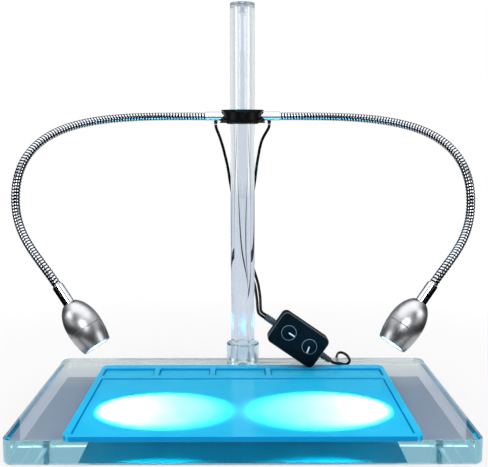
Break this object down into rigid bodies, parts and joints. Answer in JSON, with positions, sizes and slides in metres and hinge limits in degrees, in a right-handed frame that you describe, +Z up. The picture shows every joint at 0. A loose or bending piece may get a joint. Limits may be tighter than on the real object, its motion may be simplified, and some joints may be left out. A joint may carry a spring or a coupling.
{
  "type": "gooseneck led illuminator",
  "caption": "Clear acrylic bench stand with a silicone work mat, a sliding column hub that carries bendable gooseneck lamp heads, and an in-line knob dimmer on a USB lead.",
  "frame": {"origin": "centre of the base plate's underside", "axes": "+X to the right, +Y away from the user, +Z up along the column"},
  "size_m": [0.5106, 0.3511, 0.478],
  "materials": {
    "clear_acrylic": "polished clear acrylic",
    "blue_silicone": "matt moulded silicone",
    "black_hub_plastic": "moulded black plastic",
    "nylon_bush": "black nylon",
    "screw_steel": "blackened steel",
    "chrome": "bright chrome plate",
    "satin_aluminium": "turned and satin anodised",
    "lens_plastic": "frosted clear lens",
    "reflector_plate": "metallised plastic",
    "led_board_metal": "white solder resist on aluminium",
    "led_package": "silicone dome",
    "black_rubber": "soft black jacket",
    "black_case_plastic": "fine textured moulding",
    "knob_plastic": "satin black moulding with a white pointer",
    "circuit_board": "glass-fibre board with green resist",
    "pot_plastic": "moulded plastic",
    "plug_steel": "nickel-plated steel"
  },
  "bodies": {
    "stand": {"base_plate": "clear_acrylic", "work_mat": "blue_silicone", "column": "clear_acrylic", "column_cap": "clear_acrylic", "column_collar": "clear_acrylic", "left_lead_lower": "black_rubber", "right_lead_lower": "black_rubber", "dimmer_case_front": "black_case_plastic", "dimmer_case_back": "black_case_plastic", "dimmer_board": "circuit_board", "left_pot": "pot_plastic", "right_pot": "pot_plastic", "case_screws": "screw_steel", "inlet_boot": "black_rubber", "outlet_boot": "black_rubber", "power_cord": "black_rubber", "power_cord_coil": "black_rubber", "coil_tie": "black_rubber", "usb_plug_body": "black_case_plastic", "usb_plug_shell": "plug_steel"},
    "bush": {"hub_bush": "nylon_bush"},
    "hub": {"hub_body": "black_hub_plastic", "ferrule_set_screws": "screw_steel", "left_base_ferrule": "chrome", "left_lead_grommet": "black_rubber", "left_neck_1": "chrome", "right_base_ferrule": "chrome", "right_lead_grommet": "black_rubber", "right_neck_1": "chrome", "left_lead_upper": "black_rubber", "right_lead_upper": "black_rubber"},
    "clamp": {"clamp_screw": "screw_steel"},
    "left_arm_2": {"left_neck_2": "chrome"},
    "left_arm_3": {"left_neck_3": "chrome"},
    "left_arm_4": {"left_neck_4": "chrome"},
    "left_arm_5": {"left_neck_5": "chrome"},
    "left_head": {"left_neck_6": "chrome", "left_head_ferrule": "chrome", "left_head_shell": "satin_aluminium", "left_head_bezel": "satin_aluminium", "left_lens": "lens_plastic", "left_reflector": "reflector_plate", "left_led_board": "led_board_metal", "left_led": "led_package"},
    "right_arm_2": {"right_neck_2": "chrome"},
    "right_arm_3": {"right_neck_3": "chrome"},
    "right_arm_4": {"right_neck_4": "chrome"},
    "right_arm_5": {"right_neck_5": "chrome"},
    "right_head": {"right_neck_6": "chrome", "right_head_ferrule": "chrome", "right_head_shell": "satin_aluminium", "right_head_bezel": "satin_aluminium", "right_lens": "lens_plastic", "right_reflector": "reflector_plate", "right_led_board": "led_board_metal", "right_led": "led_package"},
    "left_knob": {"left_knob": "knob_plastic"},
    "right_knob": {"right_knob": "knob_plastic"}
  },
  "joints": [
    {"name": "hub_slide", "type": "slide", "parent": "stand", "child": "bush", "axis": [0, 0, 1], "range_m": [-0.05, 0.115], "deforming": ["left_lead_lower", "right_lead_lower"]},
    {"name": "hub_turn", "type": "hinge", "parent": "bush", "child": "hub", "pos_m": [0, 0.119, 0.341], "axis": [0, 0, 1], "range_deg": [-30, 30], "deforming": ["left_lead_upper", "right_lead_upper"]},
    {"name": "clamp_turn", "type": "hinge", "parent": "hub", "child": "clamp", "pos_m": [0, 0.119, 0.341], "axis": [0, 1, 0], "range_deg": [0, 360]},
    {"name": "left_curl_1", "type": "hinge", "parent": "hub", "child": "left_arm_2", "pos_m": [-0.11281, 0.10761, 0.34047], "axis": [0.263, -0.8038, 0.5336], "range_deg": [-20, 20]},
    {"name": "left_swing_2", "type": "hinge", "parent": "left_arm_2", "child": "left_arm_3", "pos_m": [-0.17269, 0.07665, 0.33533], "axis": [-0.4246, 0.4016, 0.8114], "range_deg": [-20, 20]},
    {"name": "left_curl_3", "type": "hinge", "parent": "left_arm_3", "child": "left_arm_4", "pos_m": [-0.22142, 0.03372, 0.31698], "axis": [0.3472, -0.7183, 0.6029], "range_deg": [-20, 20]},
    {"name": "left_swing_4", "type": "hinge", "parent": "left_arm_4", "child": "left_arm_5", "pos_m": [-0.24855, -0.00285, 0.26923], "axis": [-0.9636, -0.1728, 0.2039], "range_deg": [-20, 20]},
    {"name": "left_curl_5", "type": "hinge", "parent": "left_arm_5", "child": "left_head", "pos_m": [-0.23691, -0.02241, 0.20753], "axis": [0.1992, -0.7555, 0.6241], "range_deg": [-20, 20]},
    {"name": "right_curl_1", "type": "hinge", "parent": "hub", "child": "right_arm_2", "pos_m": [0.11237, 0.10761, 0.3402], "axis": [-0.26, -0.8035, 0.5356], "range_deg": [-20, 20]},
    {"name": "right_swing_2", "type": "hinge", "parent": "right_arm_2", "child": "right_arm_3", "pos_m": [0.17182, 0.0768, 0.33449], "axis": [0.4317, 0.4007, 0.8082], "range_deg": [-20, 20]},
    {"name": "right_curl_3", "type": "hinge", "parent": "right_arm_3", "child": "right_arm_4", "pos_m": [0.22033, 0.03427, 0.31615], "axis": [-0.3489, -0.7152, 0.6057], "range_deg": [-20, 20]},
    {"name": "right_swing_4", "type": "hinge", "parent": "right_arm_4", "child": "right_arm_5", "pos_m": [0.24882, -0.00342, 0.27034], "axis": [0.9597, -0.1431, 0.2417], "range_deg": [-20, 20]},
    {"name": "right_curl_5", "type": "hinge", "parent": "right_arm_5", "child": "right_head", "pos_m": [0.24105, -0.02259, 0.20806], "axis": [-0.21, -0.7604, 0.6146], "range_deg": [-20, 20]},
    {"name": "left_knob_turn", "type": "hinge", "parent": "stand", "child": "left_knob", "pos_m": [0.05672, 0.07653, 0.07689], "axis": [0, -0.9986, 0.0523], "range_deg": [-240, 60]},
    {"name": "right_knob_turn", "type": "hinge", "parent": "stand", "child": "right_knob", "pos_m": [0.08186, 0.07562, 0.05964], "axis": [0, -0.9986, 0.0523], "range_deg": [-163, 137]}
  ]
}
